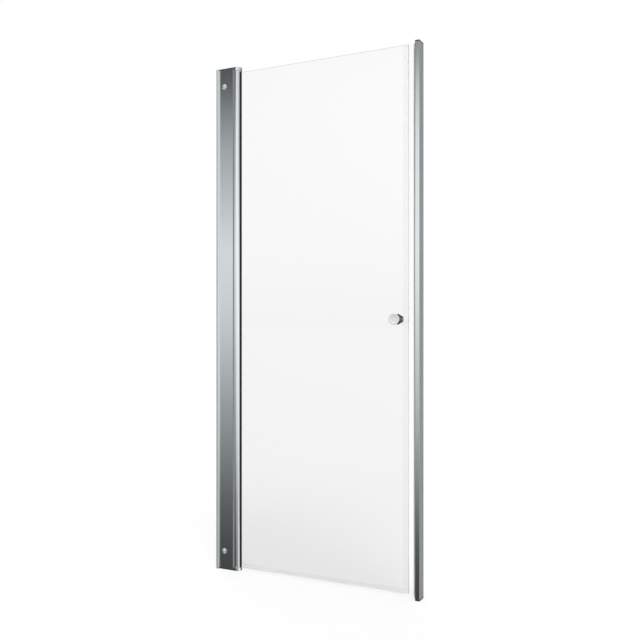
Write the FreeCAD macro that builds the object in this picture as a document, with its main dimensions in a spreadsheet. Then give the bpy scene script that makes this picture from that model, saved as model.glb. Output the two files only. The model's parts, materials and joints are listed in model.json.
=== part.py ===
"""Pivot shower door for a niche: two wall profiles, a turning post and a glass leaf.

Axes: +X runs along the door from the hinge wall to the strike wall, -Y is outside,
+Y is inside the shower, +Z is up. The origin is on the hinge wall, in the middle of
the profiles' depth, at the level of the tray. All lengths are in millimetres.
"""
import FreeCAD, Part
import math
import os
from types import SimpleNamespace

import Sketcher

# Driving dimensions: name, value, meaning
SIZE_TABLE = [
    ("door_width", 800.0, "wall to wall"),
    ("door_height", 1850.0, "strike side with its end caps"),
    ("hinge_rise", 14.4, "hinge side with its end caps above the strike side"),
    ("wall_profile_drop", 1.4, "hinge wall profile below the top of the end caps"),
    ("end_cap_height", 4.0, "end cap above a profile's cut end"),
    ("cap_tab_length", 10.0, "tab of an end cap inside its profile"),
    ("cap_tab_width", 14.0, "tab of a hinge side end cap, along the door"),
    ("profile_depth", 41.0, "both wall profiles, front to back"),
    ("profile_wall", 1.8, "wall of the extrusions"),
    ("slide_gap", 0.3, "between parts that slide or clip together"),
    ("run_gap", 0.3, "between turning and fixed pieces"),
    ("thread_gap", 0.1, "between a screw and its hole"),
    ("cut_overrun", 2.0, "cuts reach this far past the face"),
    ("edge_round", 2.0, "outer corners of the wall profiles"),
    ("inner_round", 0.7, "inner corners of the wall profiles"),
    ("nose_width", 10.2, "front nose of the hinge wall profile"),
    ("nose_depth", 6.0, "step from the nose back to the wide plate"),
    ("guide_length", 44.0, "guide legs, measured from the wall"),
    ("carrier_start", 4.0, "wall-side edge of the carrier from the wall"),
    ("axis_offset", 80.5, "hinge axis from the wall"),
    ("post_radius", 14.0, "round post"),
    ("post_wall", 2.5, "wall of the round post"),
    ("post_web", 2.0, "web between hollow and glass channel"),
    ("cradle_gap", 0.8, "between carrier and post"),
    ("cradle_lip", 9.9, "half the width of the cradle's hollow"),
    ("wiper_width", 2.0, "wiper strips on the carrier's end"),
    ("port_radius", 3.0, "outside of the screw ports in the post"),
    ("port_bore", 1.6, "bore radius of the screw ports"),
    ("port_place", 6.5, "screw ports from the axis, back and to each side"),
    ("glass_thickness", 6.0, "toughened glass"),
    ("glass_edge", 0.8, "ground edge of the glass"),
    ("glass_drop", 2.5, "glass below the post's lower cut end"),
    ("glass_short", 2.8, "glass below the post's upper cut end"),
    ("glass_far_edge", 45.0, "closing edge of the glass from the strike wall"),
    ("gasket_wall", 2.0, "gasket between glass and post"),
    ("gasket_lip_width", 5.1, "gasket lip along the glass"),
    ("gasket_lip_height", 2.8, "gasket lip above the glass face"),
    ("gasket_bevel", 1.6, "slope of the gasket lip"),
    ("bracket_radius", 17.0, "round caps of the hinge"),
    ("bracket_cap", 12.0, "height of the round caps"),
    ("bracket_edge", 0.8, "bevelled edge of the caps"),
    ("tongue_start", 49.5, "bracket's tongue and arm from the wall"),
    ("tongue_length", 36.0, "tongue of a bracket inside the carrier"),
    ("tongue_width", 13.0, "tongue along the door"),
    ("flange_height", 3.5, "turning flange between post and cap"),
    ("spigot_length", 25.0, "plug inside the post"),
    ("spigot_half", 3.2, "half the thickness of the spigot"),
    ("pivot_radius", 5.0, "pivot stub"),
    ("pivot_length", 6.5, "pivot stub above the flange"),
    ("pivot_fit", 0.05, "running fit of the pivot in its bush"),
    ("bush_wall", 2.0, "wall of the pivot bush"),
    ("bush_flange", 1.0, "thrust flange of the bush"),
    ("bush_flange_radius", 9.5, "thrust flange of the bush"),
    ("wall_hole_radius", 2.5, "wall screw holes"),
    ("wall_hole_inset", 100.0, "first wall hole from the strike side's ends"),
    ("strike_hole_setback", 9.2, "strike wall holes from the profile's front"),
    ("slot_start", 24.0, "adjusting slot from the wall"),
    ("slot_length", 24.0, "adjusting slot, end to end"),
    ("slot_width", 6.5, "adjusting slot"),
    ("adjuster_place", 32.0, "adjusting screw from the wall"),
    ("adjuster_inset", 68.0, "adjusting screw from the hinge side's ends"),
    ("adjuster_radius", 2.5, "adjusting screw shank"),
    ("adjuster_length", 12.0, "adjusting screw shank under the head"),
    ("adjuster_head_radius", 5.2, "adjusting screw head"),
    ("adjuster_head_height", 3.0, "adjusting screw head"),
    ("washer_radius", 9.8, "adjusting washer"),
    ("washer_height", 1.6, "adjusting washer"),
    ("nut_side", 9.0, "square nut behind the guide leg"),
    ("nut_height", 3.5, "square nut behind the guide leg"),
    ("recess_width", 1.2, "cross recess in a screw head"),
    ("recess_length", 3.6, "cross recess in a screw head"),
    ("recess_depth", 1.3, "cross recess in a screw head"),
    ("screw_radius", 2.0, "bracket and strike screws"),
    ("screw_head_radius", 3.7, "bracket and strike screws"),
    ("screw_head_height", 2.2, "bracket and strike screws"),
    ("screw_length", 9.0, "bracket and strike screws under the head"),
    ("bracket_screw_inset", 12.0, "first bracket screw from the carrier's end"),
    ("bracket_screw_pitch", 15.0, "between the two screws of a bracket"),
    ("plug_screw_radius", 1.5, "plug screws"),
    ("plug_screw_length", 18.0, "plug screws under the head"),
    ("plug_head_radius", 2.8, "plug screws"),
    ("plug_head_height", 1.9, "plug screws"),
    ("strike_leg", 15.7, "front leg of the strike wall profile"),
    ("strike_lip", 4.5, "return at the end of the strike's front leg"),
    ("strike_rear_leg", 22.0, "rear leg of the strike wall profile"),
    ("insert_reach", 28.3, "strike insert from the strike wall"),
    ("insert_start", 3.0, "strike insert's wall-side edge"),
    ("insert_front", 9.2, "front face of the strike insert from the mid plane"),
    ("foot_neck", 2.4, "neck of the magnet housing's foot"),
    ("foot_width", 5.2, "foot of the magnet housing inside the insert"),
    ("foot_height", 1.3, "foot of the magnet housing inside the insert"),
    ("strike_screw_place", 12.0, "insert screws from the strike wall"),
    ("strike_screw_inset", 150.0, "insert screws from the end of the door"),
    ("magnet_gap", 0.3, "between the two magnet housings, door closed"),
    ("housing_width", 9.6, "both magnet housings along the door"),
    ("housing_depth", 4.8, "door's magnet housing, front to back"),
    ("housing_face", 3.9, "door's magnet face from the mid plane"),
    ("housing_wall", 1.0, "wall of the magnet housings"),
    ("magnet_depth", 2.6, "magnet strip"),
    ("magnet_fit", 0.1, "magnet in its housing"),
    ("seal_wall", 1.2, "walls of the clip-on seals"),
    ("seal_clip", 18.0, "magnetic seal's clip along the glass"),
    ("seal_arm", 1.6, "arm between clip and magnet housing"),
    ("drip_clip", 14.0, "drip seal's clip up the glass"),
    ("drip_reach", 5.0, "drip seal's fin below the glass"),
    ("drip_fin", 1.2, "drip seal's fins"),
    ("drip_wing", 5.0, "drip seal's slanted fin, inwards and down"),
    ("drip_end_gap", 0.8, "between the drip seal and its neighbours"),
    ("knob_inset", 40.0, "knob from the closing edge of the glass"),
    ("knob_radius", 19.2, "outer knob"),
    ("knob_length", 25.5, "outer knob without its neck"),
    ("knob_neck_radius", 13.2, "neck of the outer knob"),
    ("knob_neck", 4.0, "neck of the outer knob"),
    ("knob_bevel", 1.2, "bevelled edges of the knobs"),
    ("knob_dish", 1.2, "hollow in the outer knob's face"),
    ("knob_rim", 3.0, "flat rim round that hollow"),
    ("inner_knob_radius", 13.2, "inner knob"),
    ("inner_knob_length", 25.0, "inner knob"),
    ("knob_washer_radius", 11.0, "clear washers under the knobs"),
    ("knob_washer_height", 0.8, "clear washers under the knobs"),
    ("knob_hole_radius", 6.0, "hole in the glass"),
    ("stud_radius", 3.0, "stud between the knobs"),
    ("stud_grip", 16.0, "stud inside each knob"),
]
WALL_HOLE_COUNT = 4


class Size:
    """A length together with the sheet expression that gives it."""

    def __init__(self, value, text):
        self.value = value
        self.text = text

    def __add__(self, other):
        return combine(self, other, "+", self.value + plain(other).value)

    def __sub__(self, other):
        return combine(self, other, "-", self.value - plain(other).value)

    def __mul__(self, other):
        return combine(self, other, "*", self.value * plain(other).value)

    def __truediv__(self, other):
        return combine(self, other, "/", self.value / plain(other).value)

    def __neg__(self):
        return Size(-self.value, f"(0 - {self.text})")

    def root(self):
        return Size(math.sqrt(self.value), f"sqrt({self.text})")


def plain(item):
    """Zero and plain factors also count as sizes."""
    return item if isinstance(item, Size) else Size(float(item), str(item))


def combine(left, right, sign, value):
    return Size(value, f"({left.text} {sign} {plain(right).text})")


def moved(start, distance, step):
    """A coordinate moved by a distance along a unit step of -1, 0 or 1."""
    if step == 0:
        return start
    return start + distance if step > 0 else start - distance


def chord(radius, across):
    """Half the chord of a circle at a distance from its centre."""
    return (radius * radius - across * across).root()


# Document and sheet
doc = FreeCAD.newDocument("ShowerDoor")
sheet = doc.addObject("Spreadsheet::Sheet", "Sizes")
for row, (name, value, meaning) in enumerate(SIZE_TABLE, start=1):
    sheet.set(f"A{row}", meaning)
    sheet.set(f"B{row}", str(value))
    sheet.setAlias(f"B{row}", name)
doc.recompute()
d = SimpleNamespace(**{name: Size(value, f"Sizes.{name}") for name, value, _ in SIZE_TABLE})

nodes = []


def bind(target, prop, size):
    """Tie a property to the sheet."""
    target.setExpression(prop, plain(size).text)


def place(target, x=0, y=0, z=0):
    """Tie an object's position to the sheet."""
    for axis, size in (("x", x), ("y", y), ("z", z)):
        bind(target, f"Placement.Base.{axis}", size)


def node(target, label, x=0, y=0, z=0):
    """Name an object as one of the door's sub-parts and put it in its place."""
    target.Label = label
    place(target, x, y, z)
    nodes.append(target)


# Sketches
def origin_item(body, role):
    return next(item for item in body.Origin.OriginFeatures if item.Role == role)


def object_name(label):
    return label.title().replace("_", "")


def new_body(label):
    return doc.addObject("PartDesign::Body", object_name(label))


def new_sketch(body, name, plane="XY_Plane", offset=0):
    sketch = body.newObject("Sketcher::SketchObject", body.Name + name)
    sketch.AttachmentSupport = [(origin_item(body, plane), "")]
    sketch.MapMode = "FlatFace"
    bind(sketch, "AttachmentOffset.Base.z", offset)
    return sketch


def line_to(x, y):
    return SimpleNamespace(x=plain(x), y=plain(y), centre_x=None)


def arc_to(x, y, centre_x, centre_y, left_turn):
    return SimpleNamespace(x=plain(x), y=plain(y), centre_x=plain(centre_x),
                           centre_y=plain(centre_y), left_turn=left_turn)


def rounded(x, y, radius, before, after):
    """A rounded corner; before and after are the directions of travel round it."""
    start_x, start_y = moved(x, radius, -before[0]), moved(y, radius, -before[1])
    end_x, end_y = moved(x, radius, after[0]), moved(y, radius, after[1])
    centre_x = moved(start_x, radius, after[0])
    centre_y = moved(start_y, radius, after[1])
    left_turn = before[0] * after[1] - before[1] * after[0] > 0
    return [line_to(start_x, start_y), arc_to(end_x, end_y, centre_x, centre_y, left_turn)]


def bevelled(x, y, size, before, after):
    """A corner cut off at 45 degrees; before and after are the directions of travel."""
    return [line_to(moved(x, size, -before[0]), moved(y, size, -before[1])),
            line_to(moved(x, size, after[0]), moved(y, size, after[1]))]


def named(sketch, constraint, name, size):
    index = sketch.addConstraint(constraint)
    sketch.renameConstraint(index, name)
    bind(sketch, f"Constraints.{name}", size)


def tie(sketch, item, end, kind, size, name):
    """Tie one coordinate of a sketch point to the sheet, or to an axis if it is zero."""
    if size.value == 0:
        axis = -2 if kind == "DistanceX" else -1
        sketch.addConstraint(Sketcher.Constraint("PointOnObject", item, end, axis))
    else:
        named(sketch, Sketcher.Constraint(kind, -1, 1, item, end, size.value), name, size)


def pin(sketch, item, end, x, y, tag):
    tie(sketch, item, end, "DistanceX", x, f"x_{tag}")
    tie(sketch, item, end, "DistanceY", y, f"y_{tag}")


def draw(sketch, steps, tag="p"):
    """Draw one closed outline of lines and arcs with every point tied to the sheet."""
    first = sketch.GeometryCount
    ends = []
    for index, step in enumerate(steps):
        start = FreeCAD.Vector(steps[index - 1].x.value, steps[index - 1].y.value, 0)
        stop = FreeCAD.Vector(step.x.value, step.y.value, 0)
        if step.centre_x is None:
            sketch.addGeometry(Part.LineSegment(start, stop), False)
            ends.append((1, 2))
            continue
        centre = FreeCAD.Vector(step.centre_x.value, step.centre_y.value, 0)
        from_to = (start, stop) if step.left_turn else (stop, start)
        angles = [math.atan2(point.y - centre.y, point.x - centre.x) for point in from_to]
        if angles[1] < angles[0]:
            angles[1] += 2 * math.pi
        circle = Part.Circle(centre, FreeCAD.Vector(0, 0, 1), (stop - centre).Length)
        sketch.addGeometry(Part.ArcOfCircle(circle, *angles), False)
        ends.append((1, 2) if step.left_turn else (2, 1))
    for index, step in enumerate(steps):
        item, (start_end, stop_end) = first + index, ends[index]
        before, before_end = first + (index - 1) % len(steps), ends[index - 1][1]
        sketch.addConstraint(Sketcher.Constraint("Coincident", before, before_end, item, start_end))
        pin(sketch, item, stop_end, step.x, step.y, f"{tag}{index}")
        if step.centre_x is not None:
            tie(sketch, item, 3, "DistanceX", step.centre_x, f"centre_{tag}{index}")


def draw_box(sketch, x0, y0, x1, y1, tag="b"):
    draw(sketch, [line_to(x0, y0), line_to(x1, y0), line_to(x1, y1), line_to(x0, y1)], tag)


def draw_circle(sketch, x, y, radius, tag="c"):
    x, y = plain(x), plain(y)
    circle = Part.Circle(FreeCAD.Vector(x.value, y.value, 0), FreeCAD.Vector(0, 0, 1), radius.value)
    item = sketch.addGeometry(circle, False)
    pin(sketch, item, 3, x, y, tag)
    named(sketch, Sketcher.Constraint("Radius", item, radius.value), f"r_{tag}", radius)


# Features
def pad(body, sketch, length, both_ways=False, backwards=False):
    feature = body.newObject("PartDesign::Pad", sketch.Name + "Pad")
    feature.Profile = sketch
    bind(feature, "Length", length)
    feature.SideType = "Symmetric" if both_ways else "One side"
    feature.Reversed = backwards
    doc.recompute()


def pocket(body, sketch, length, both_ways=False, backwards=False):
    """Cut a sketch into the body, and stop if the cut takes nothing away."""
    volume_before = body.Shape.Volume
    feature = body.newObject("PartDesign::Pocket", sketch.Name + "Cut")
    feature.Profile = sketch
    bind(feature, "Length", length)
    feature.SideType = "Symmetric" if both_ways else "One side"
    feature.Reversed = backwards
    doc.recompute()
    if body.Shape.Volume >= volume_before:
        raise RuntimeError(f"{feature.Name} cuts nothing")
    return feature


def mirror(body, feature):
    """Repeat a cut of the upper half in the lower half."""
    copy = body.newObject("PartDesign::Mirrored", feature.Name + "Mirror")
    copy.Originals = [feature]
    copy.MirrorPlane = (origin_item(body, "XY_Plane"), [""])
    body.Tip = copy


def repeat_up(body, feature, length, count):
    """Repeat a cut along the height, the last copy at the given distance."""
    pattern = body.newObject("PartDesign::LinearPattern", feature.Name + "Row")
    pattern.Originals = [feature]
    pattern.Direction = (origin_item(body, "Z_Axis"), [""])
    bind(pattern, "Length", length)
    pattern.Occurrences = count
    body.Tip = pattern


def turn(body, sketch):
    feature = body.newObject("PartDesign::Revolution", sketch.Name + "Turn")
    feature.Profile = sketch
    feature.ReferenceAxis = (sketch, ["V_Axis"])


def bevel(body, size, chosen):
    """Bevel the edges whose middle passes the test."""
    names = []
    for index, edge in enumerate(body.Shape.Edges, start=1):
        if chosen(edge.valueAt((edge.FirstParameter + edge.LastParameter) / 2)):
            names.append(f"Edge{index}")
    base = body.Tip
    feature = body.newObject("PartDesign::Chamfer", body.Name + "Bevel")
    feature.Base = (base, names)
    bind(feature, "Size", size)


# Derived planes and levels
half_depth = d.profile_depth / 2
inside_face = half_depth - d.profile_wall
plate_face = half_depth - d.nose_depth
plate_inner = plate_face - d.profile_wall
leg_outer = plate_inner - d.slide_gap
leg_inner = leg_outer - d.profile_wall
cradle_radius = d.post_radius + d.cradle_gap
plate_end = d.axis_offset - chord(cradle_radius, d.cradle_lip)
hinge_height = d.door_height + d.hinge_rise
wall_length = hinge_height - d.wall_profile_drop
carrier_length = hinge_height - d.end_cap_height * 2
strike_length = d.door_height - d.end_cap_height * 2
hinge_middle = hinge_height / 2
wall_middle = wall_length / 2
strike_middle = d.door_height / 2
lower_cut = d.end_cap_height
hinge_cut = hinge_height - d.end_cap_height
strike_cut = d.door_height - d.end_cap_height
cap_sink = d.bracket_cap - d.end_cap_height
notch_depth = cap_sink + d.run_gap
adjuster_low = d.adjuster_inset
adjuster_high = hinge_height - d.adjuster_inset
half_glass = d.glass_thickness / 2
channel_half = half_glass + d.gasket_wall
glass_start = d.post_web + d.gasket_wall
glass_end = d.door_width - d.glass_far_edge
knob_place = glass_end - d.knob_inset
post_low = lower_cut + notch_depth + d.flange_height
post_high = hinge_cut - notch_depth - d.flange_height
post_length = post_high - post_low
glass_low = post_low - d.glass_drop
glass_height = post_length + d.glass_drop - d.glass_short
glass_middle = glass_low + glass_height / 2
gasket_front = chord(d.post_radius, channel_half) + d.slide_gap
gasket_end = gasket_front + d.gasket_lip_width
wall_hole_span = d.door_height - d.wall_hole_inset * 2
bush_radius = d.pivot_radius + d.pivot_fit + d.bush_wall
screw_hole = d.screw_radius + d.thread_gap
screw_axis = d.tongue_start + d.tongue_width / 2
housing_start = d.door_width - d.insert_reach
housing_end = housing_start + d.housing_width
foot_middle = d.insert_reach - d.housing_width / 2


def wall_holes(body, across, body_middle):
    """A row of round holes through the web that lies on the wall."""
    sketch = new_sketch(body, "WallHole", "YZ_Plane")
    draw_circle(sketch, across, d.wall_hole_inset - body_middle, d.wall_hole_radius)
    hole = pocket(body, sketch, (d.profile_wall + d.cut_overrun) * 2, both_ways=True)
    repeat_up(body, hole, wall_hole_span, WALL_HOLE_COUNT)


# Hinge side, fixed pieces
def hinge_wall_profile():
    """Extrusion on the wall: a nose at front and back, and two guide legs between."""
    wall = d.profile_wall
    nose_inner = d.nose_width - wall
    nose_tip = plate_face + d.slide_gap
    steps = [line_to(0, -half_depth)]
    steps += rounded(d.nose_width, -half_depth, d.edge_round, (1, 0), (0, 1))
    steps += [line_to(d.nose_width, -nose_tip), line_to(nose_inner, -nose_tip)]
    steps += rounded(nose_inner, -inside_face, d.inner_round, (0, -1), (-1, 0))
    steps += [line_to(wall, -inside_face), line_to(wall, -leg_outer),
              line_to(d.guide_length, -leg_outer), line_to(d.guide_length, -leg_inner),
              line_to(wall, -leg_inner), line_to(wall, leg_inner),
              line_to(d.guide_length, leg_inner), line_to(d.guide_length, leg_outer),
              line_to(wall, leg_outer), line_to(wall, inside_face)]
    steps += rounded(nose_inner, inside_face, d.inner_round, (1, 0), (0, -1))
    steps += [line_to(nose_inner, nose_tip), line_to(d.nose_width, nose_tip)]
    steps += rounded(d.nose_width, half_depth, d.edge_round, (0, 1), (-1, 0))
    steps += [line_to(0, half_depth)]
    body = new_body("hinge_wall_profile")
    section = new_sketch(body, "Section")
    draw(section, steps)
    pad(body, section, wall_length, both_ways=True)
    holes = new_sketch(body, "AdjusterHoles", "XZ_Plane", leg_inner - d.cut_overrun)
    radius = d.adjuster_radius + d.thread_gap
    draw_circle(holes, d.adjuster_place, adjuster_high - wall_middle, radius, "high")
    draw_circle(holes, d.adjuster_place, adjuster_low - wall_middle, radius, "low")
    pocket(body, holes, d.profile_wall + d.cut_overrun * 2, backwards=True)
    wall_holes(body, 0, wall_middle)
    node(body, "hinge_wall_profile", z=wall_middle)


def hinge_carrier_profile():
    """Box extrusion: its front is the wide plate, its end is hollowed for the post.

    Both ends are notched round the post's axis for the round caps.
    """
    chamber_end = d.axis_offset - cradle_radius - d.profile_wall
    steps = [line_to(d.carrier_start, -plate_face), line_to(plate_end, -plate_face),
             line_to(plate_end, -d.cradle_lip),
             arc_to(plate_end, d.cradle_lip, d.axis_offset, 0, False),
             line_to(plate_end, plate_face), line_to(d.carrier_start, plate_face),
             line_to(d.carrier_start, plate_inner), line_to(chamber_end, plate_inner),
             line_to(chamber_end, -plate_inner), line_to(d.carrier_start, -plate_inner)]
    body = new_body("hinge_carrier_profile")
    section = new_sketch(body, "Section")
    draw(section, steps)
    pad(body, section, carrier_length, both_ways=True)
    notch_sketch = new_sketch(body, "CapNotch", offset=carrier_length / 2 - notch_depth)
    draw_circle(notch_sketch, d.axis_offset, 0, d.bracket_radius + d.slide_gap)
    notch = pocket(body, notch_sketch, notch_depth + d.cut_overrun, backwards=True)
    mirror(body, notch)
    slot_sketch = new_sketch(body, "Slot", "XZ_Plane", plate_inner - d.cut_overrun)
    end_radius = d.slot_width / 2
    left = d.slot_start + end_radius
    right = d.slot_start + d.slot_length - end_radius
    rise = adjuster_high - hinge_middle
    low = rise - end_radius
    high = rise + end_radius
    draw(slot_sketch, [line_to(right, low),
                       arc_to(right, high, right, rise, True),
                       line_to(left, high),
                       arc_to(left, low, left, rise, True)])
    slot = pocket(body, slot_sketch, d.profile_wall + d.cut_overrun * 2, backwards=True)
    mirror(body, slot)
    hole_sketch = new_sketch(body, "BracketHoles", "XZ_Plane", -(plate_inner - d.cut_overrun))
    first = carrier_length / 2 - d.bracket_screw_inset
    draw_circle(hole_sketch, screw_axis, first, screw_hole, "outer")
    draw_circle(hole_sketch, screw_axis, first - d.bracket_screw_pitch, screw_hole, "inner")
    holes = pocket(body, hole_sketch, d.profile_wall + d.cut_overrun * 2)
    mirror(body, holes)
    node(body, "hinge_carrier_profile", z=hinge_middle)


def hinge_profile_cap(label, z, upper):
    """Cap on a cut end of the carrier, open round the guide legs and the bracket's arm."""
    body = new_body(label)
    round_end = d.axis_offset - chord(d.bracket_radius + d.slide_gap, plate_inner)
    arm_gap = d.tongue_start - d.slide_gap
    guide_end = d.guide_length + d.slide_gap
    tab_half = leg_inner - d.slide_gap
    section = new_sketch(body, "Section")
    draw(section, [line_to(d.carrier_start, -plate_face), line_to(round_end, -plate_face),
                   line_to(round_end, -plate_inner), line_to(arm_gap, -plate_inner),
                   line_to(arm_gap, plate_inner), line_to(round_end, plate_inner),
                   line_to(round_end, plate_face), line_to(d.carrier_start, plate_face),
                   line_to(d.carrier_start, plate_inner), line_to(guide_end, plate_inner),
                   line_to(guide_end, tab_half), line_to(d.carrier_start, tab_half),
                   line_to(d.carrier_start, -tab_half), line_to(guide_end, -tab_half),
                   line_to(guide_end, -plate_inner), line_to(d.carrier_start, -plate_inner)])
    pad(body, section, d.end_cap_height, backwards=not upper)
    tab = new_sketch(body, "Tab")
    draw_box(tab, d.carrier_start, -tab_half, d.carrier_start + d.cap_tab_width, tab_half)
    pad(body, tab, d.cap_tab_length, backwards=upper)
    node(body, label, z=z)


def hinge_bracket(label, z, upper):
    """Cast end piece: a round cap with the bush seat, an arm and a tongue in the carrier.

    The cap is flush with the end cap and sinks into the carrier's notch.
    """
    body = new_body(label)
    rim = d.end_cap_height if upper else -d.end_cap_height
    disc = new_sketch(body, "Disc", offset=rim)
    draw_circle(disc, d.axis_offset, 0, d.bracket_radius)
    pad(body, disc, d.bracket_cap, backwards=upper)
    bevel(body, d.bracket_edge, lambda point: abs(point.z - rim.value) < 0.01)
    arm = new_sketch(body, "Arm")
    draw_box(arm, d.tongue_start, -leg_outer, d.axis_offset, leg_outer)
    pad(body, arm, d.end_cap_height, backwards=not upper)
    tongue = new_sketch(body, "Tongue")
    draw_box(tongue, d.tongue_start, -leg_outer, d.tongue_start + d.tongue_width, leg_outer)
    pad(body, tongue, d.tongue_length, backwards=upper)
    seat_level = -cap_sink if upper else cap_sink
    seat = new_sketch(body, "Seat", offset=seat_level)
    draw_circle(seat, d.axis_offset, 0, d.bush_flange_radius + d.pivot_fit)
    pocket(body, seat, d.bush_flange, backwards=upper)
    bore = new_sketch(body, "Bore", offset=seat_level)
    draw_circle(bore, d.axis_offset, 0, bush_radius + d.pivot_fit)
    pocket(body, bore, d.bush_flange + d.pivot_length + d.slide_gap, backwards=upper)
    holes = new_sketch(body, "ScrewHoles", "XZ_Plane")
    first = d.bracket_screw_inset
    second = first + d.bracket_screw_pitch
    draw_circle(holes, screw_axis, -first if upper else first, screw_hole, "outer")
    draw_circle(holes, screw_axis, -second if upper else second, screw_hole, "inner")
    pocket(body, holes, leg_outer * 2 + d.cut_overrun, both_ways=True)
    node(body, label, z=z)


def hinge_bush(label, z, upper):
    """Flanged plastic bush; its flange is flush with the cap and faces the post."""
    body = new_body(label)
    lengths = (("Flange", d.bush_flange_radius, d.bush_flange),
               ("Barrel", bush_radius, d.bush_flange + d.pivot_length))
    for name, radius, length in lengths:
        sketch = new_sketch(body, name)
        draw_circle(sketch, 0, 0, radius, "outer")
        draw_circle(sketch, 0, 0, d.pivot_radius + d.pivot_fit, "inner")
        pad(body, sketch, length, backwards=not upper)
    node(body, label, x=d.axis_offset, z=z)


def post_wiper_seals():
    """Two strips on the end of the carrier that wipe the round post."""
    wiper_radius = d.post_radius + d.run_gap
    edge = d.cradle_lip + d.wiper_width
    tip_x = d.axis_offset - chord(wiper_radius, edge)
    root_x = d.axis_offset - chord(wiper_radius, d.cradle_lip)
    strips = []
    for side, outer, inner in (("front", -edge, -d.cradle_lip), ("rear", edge, d.cradle_lip)):
        body = new_body("wiper_" + side)
        section = new_sketch(body, "Section")
        draw(section, [line_to(plate_end, outer), line_to(tip_x, outer),
                       arc_to(root_x, inner, d.axis_offset, 0, side == "rear"),
                       line_to(plate_end, inner)])
        pad(body, section, carrier_length - notch_depth * 2, both_ways=True)
        strips.append(body)
    group("post_wiper_seals", strips, z=hinge_middle)


# Fasteners and other turned pieces
HEAD_OUTSIDE = FreeCAD.Rotation(FreeCAD.Vector(1, 0, 0), 90)
HEAD_INSIDE = FreeCAD.Rotation(FreeCAD.Vector(1, 0, 0), -90)
HEAD_UP = FreeCAD.Rotation()
HEAD_DOWN = FreeCAD.Rotation(FreeCAD.Vector(1, 0, 0), 180)


def cylinder(name, radius, height, z=0):
    shape = doc.addObject("Part::Cylinder", name)
    bind(shape, "Radius", radius)
    bind(shape, "Height", height)
    place(shape, z=z)
    return shape


def box(name, length, width, height, z=0):
    """A box standing centred on the local Z axis."""
    shape = doc.addObject("Part::Box", name)
    bind(shape, "Length", length)
    bind(shape, "Width", width)
    bind(shape, "Height", height)
    place(shape, -length / 2, -width / 2, z)
    return shape


def joined(kind, name, base, tool):
    result = doc.addObject(f"Part::{kind}", name)
    result.Base = base
    result.Tool = tool
    return result


def drilled(name, blank, radius, height):
    """Drill a hole along the local Z axis through a blank of the given height."""
    hole = cylinder(name + "Hole", radius, height * 3, z=-height)
    return joined("Cut", name, blank, hole)


def screw(name, radius, length, head_radius, head_height):
    """Pan head screw with a cross recess: local zero under the head, head upwards."""
    shank = cylinder(name + "Shank", radius, length + head_height / 2, z=-length)
    head = cylinder(name + "Head", head_radius, head_height)
    blank = joined("Fuse", name + "Blank", shank, head)
    level = head_height - d.recess_depth
    depth = d.recess_depth + d.cut_overrun
    along = box(name + "RecessX", d.recess_length, d.recess_width, depth, level)
    across = box(name + "RecessY", d.recess_width, d.recess_length, depth, level)
    return joined("Cut", name, blank, joined("Fuse", name + "Recess", along, across))


def put(target, rotation, x=0, y=0, z=0):
    """Turn a piece and tie its position to the sheet."""
    target.Placement = FreeCAD.Placement(FreeCAD.Vector(), rotation)
    place(target, x, y, z)
    return target


def group(label, members, z=0):
    """Several equal pieces under one name, as separate solids."""
    compound = doc.addObject("Part::Compound", object_name(label))
    compound.Links = members
    node(compound, label, z=z)


def adjusters():
    """Two sets of screw, washer and square nut that clamp the carrier to a guide leg."""
    screws, washers, nuts = [], [], []
    hole = d.adjuster_radius + d.thread_gap
    for tag, z in (("Low", adjuster_low), ("High", adjuster_high)):
        piece = screw("Adjuster" + tag, d.adjuster_radius, d.adjuster_length,
                      d.adjuster_head_radius, d.adjuster_head_height)
        head_seat = -plate_face - d.washer_height
        screws.append(put(piece, HEAD_OUTSIDE, d.adjuster_place, head_seat, z))
        disc = cylinder("WasherDisc" + tag, d.washer_radius, d.washer_height)
        washer = drilled("Washer" + tag, disc, hole, d.washer_height)
        washers.append(put(washer, HEAD_OUTSIDE, d.adjuster_place, -plate_face, z))
        block = box("NutBlock" + tag, d.nut_side, d.nut_side, d.nut_height)
        nut = drilled("Nut" + tag, block, hole, d.nut_height)
        nuts.append(put(nut, HEAD_INSIDE, d.adjuster_place, -leg_inner, z))
    group("adjusting_screws", screws)
    group("adjusting_washers", washers)
    group("adjusting_nuts", nuts)


def cross_screws(label, places, y):
    """Equal screws put in from inside the shower, at the given places along X and Z."""
    screws = []
    for index, (x, z) in enumerate(places):
        piece = screw(f"{object_name(label)}{index}", d.screw_radius, d.screw_length,
                      d.screw_head_radius, d.screw_head_height)
        screws.append(put(piece, HEAD_INSIDE, x, y, z))
    group(label, screws)


def fixing_screws():
    """Two screws per bracket, and three through the strike profile into its insert."""
    first = d.bracket_screw_inset
    second = first + d.bracket_screw_pitch
    levels = (lower_cut + first, lower_cut + second, hinge_cut - second, hinge_cut - first)
    cross_screws("bracket_screws", [(screw_axis, z) for z in levels], plate_face)
    levels = (d.strike_screw_inset, strike_middle, d.door_height - d.strike_screw_inset)
    x = d.door_width - d.strike_screw_place
    cross_screws("strike_insert_screws", [(x, z) for z in levels], half_depth)


# Strike side, fixed pieces; these sections are drawn from the strike wall towards -X
def insert_screw_holes(body, level):
    """Three round holes through a wall whose front face lies at the given depth."""
    sketch = new_sketch(body, "InsertHoles", "XZ_Plane", d.slide_gap - level)
    rise = strike_middle - d.strike_screw_inset
    for tag, z in (("low", -rise), ("mid", 0), ("high", rise)):
        draw_circle(sketch, -d.strike_screw_place, z, screw_hole, tag)
    pocket(body, sketch, d.profile_wall + d.slide_gap * 2)


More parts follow.
